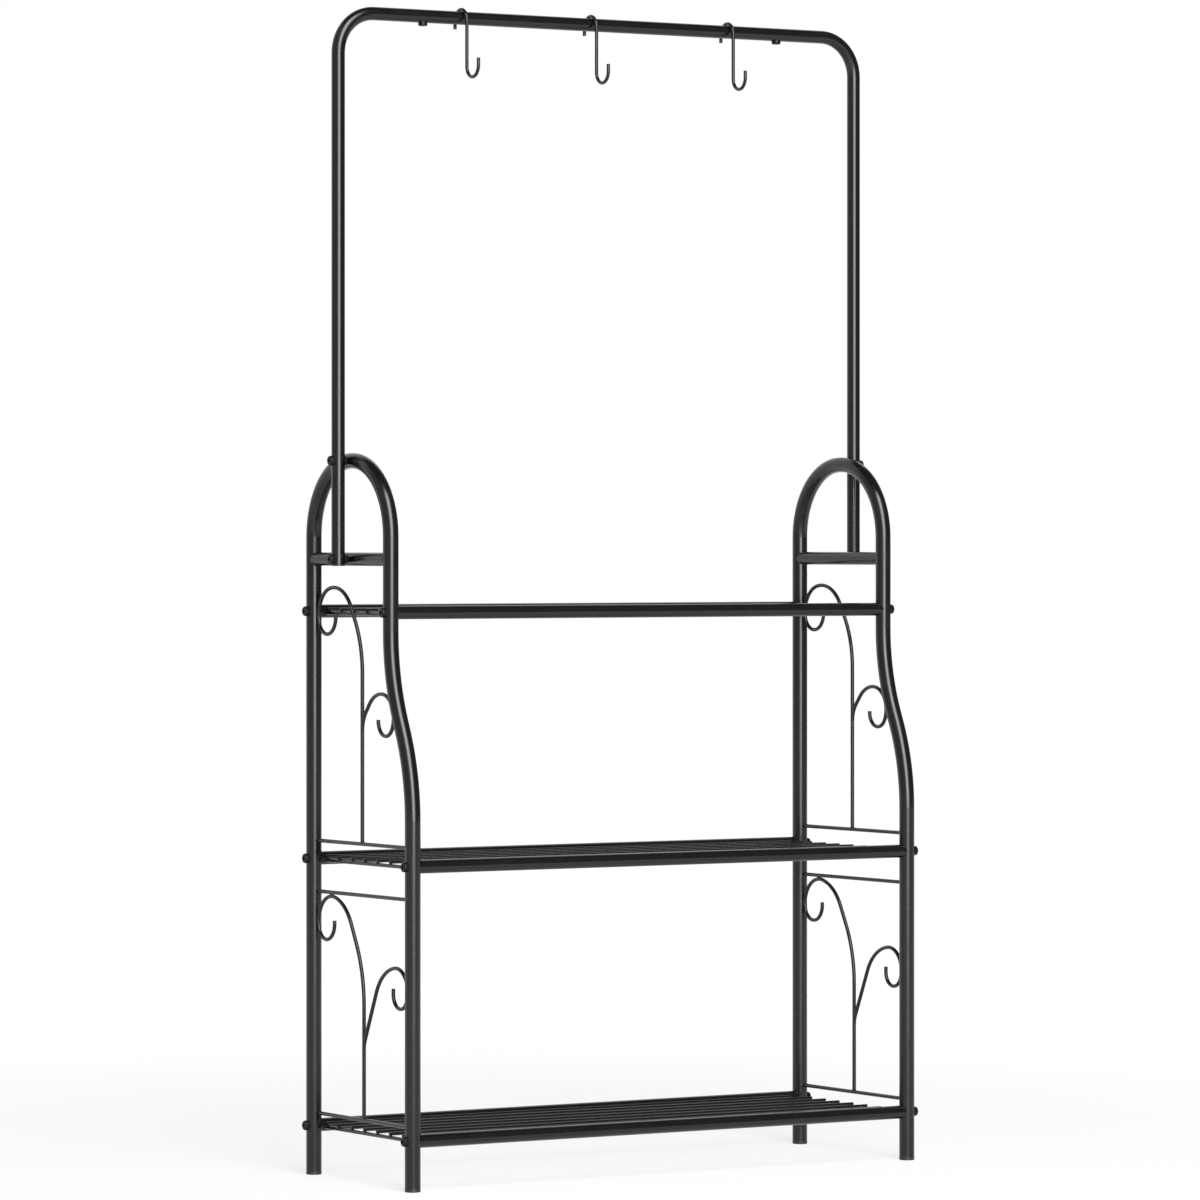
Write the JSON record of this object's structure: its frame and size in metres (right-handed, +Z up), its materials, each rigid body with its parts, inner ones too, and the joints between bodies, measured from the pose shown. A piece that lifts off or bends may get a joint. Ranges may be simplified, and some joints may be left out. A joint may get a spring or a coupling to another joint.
{
  "type": "tiered plant stand",
  "caption": "Black metal plant stand: bent-tube side frames with scrolls, wire shelves bolted between them, and a tall hanging rail with S-hooks.",
  "frame": {"origin": "on the floor, at the middle of the stand's bounding box", "axes": "+X to the right along the shelves, +Y to the back where the legs stand straight, +Z up"},
  "size_m": [0.9022, 0.301, 1.6533],
  "materials": {
    "black_powder_coat": "satin powder coat",
    "bolt_black": "black oxide, satin",
    "hook_black": "satin powder coat",
    "black_plastic": "matte",
    "plain_steel": "zinc plated"
  },
  "bodies": {
    "stand": {"bar_screws": "bolt_black", "bar_spigots": "plain_steel", "bottom_shelf_back_rail": "black_powder_coat", "bottom_shelf_bolts": "bolt_black", "bottom_shelf_front_rail": "black_powder_coat", "bottom_shelf_left_end_bar": "black_powder_coat", "bottom_shelf_rail_plugs": "plain_steel", "bottom_shelf_right_end_bar": "black_powder_coat", "bottom_shelf_wires": "black_powder_coat", "hanger_bolts": "bolt_black", "hanger_inserts": "plain_steel", "hanger_spacers": "black_plastic", "hanging_bar": "black_powder_coat", "left_back_foot": "black_plastic", "left_cross_bar": "black_powder_coat", "left_front_foot": "black_plastic", "left_hanger_upright": "black_powder_coat", "left_lower_base_wire": "black_powder_coat", "left_lower_branch_scroll": "black_powder_coat", "left_lower_stem_scroll": "black_powder_coat", "left_lower_top_wire": "black_powder_coat", "left_side_tube": "black_powder_coat", "left_upper_base_wire": "black_powder_coat", "left_upper_branch_scroll": "black_powder_coat", "left_upper_stem_scroll": "black_powder_coat", "left_upright_plug": "black_plastic", "middle_shelf_back_rail": "black_powder_coat", "middle_shelf_bolts": "bolt_black", "middle_shelf_front_rail": "black_powder_coat", "middle_shelf_left_end_bar": "black_powder_coat", "middle_shelf_rail_plugs": "plain_steel", "middle_shelf_right_end_bar": "black_powder_coat", "middle_shelf_wires": "black_powder_coat", "right_back_foot": "black_plastic", "right_cross_bar": "black_powder_coat", "right_front_foot": "black_plastic", "right_hanger_upright": "black_powder_coat", "right_lower_base_wire": "black_powder_coat", "right_lower_branch_scroll": "black_powder_coat", "right_lower_stem_scroll": "black_powder_coat", "right_lower_top_wire": "black_powder_coat", "right_side_tube": "black_powder_coat", "right_upper_base_wire": "black_powder_coat", "right_upper_branch_scroll": "black_powder_coat", "right_upper_stem_scroll": "black_powder_coat", "right_upright_plug": "black_plastic", "top_shelf_back_rail": "black_powder_coat", "top_shelf_bolts": "bolt_black", "top_shelf_front_rail": "black_powder_coat", "top_shelf_left_end_bar": "black_powder_coat", "top_shelf_rail_plugs": "plain_steel", "top_shelf_right_end_bar": "black_powder_coat", "top_shelf_wires": "black_powder_coat"},
    "left_hook_body": {"left_hook": "hook_black"},
    "middle_hook_body": {"middle_hook": "hook_black"},
    "right_hook_body": {"right_hook": "hook_black"}
  },
  "joints": [
    {"name": "left_hook_swing", "type": "hinge", "parent": "stand", "child": "left_hook_body", "pos_m": [-0.2365, 0.0303, 1.6385], "axis": [1, 0, 0], "range_deg": [-60, 60]},
    {"name": "middle_hook_swing", "type": "hinge", "parent": "stand", "child": "middle_hook_body", "pos_m": [-0.0205, 0.0303, 1.6385], "axis": [1, 0, 0], "range_deg": [-60, 60]},
    {"name": "right_hook_swing", "type": "hinge", "parent": "stand", "child": "right_hook_body", "pos_m": [0.2135, 0.0303, 1.6385], "axis": [1, 0, 0], "range_deg": [-60, 60]}
  ]
}
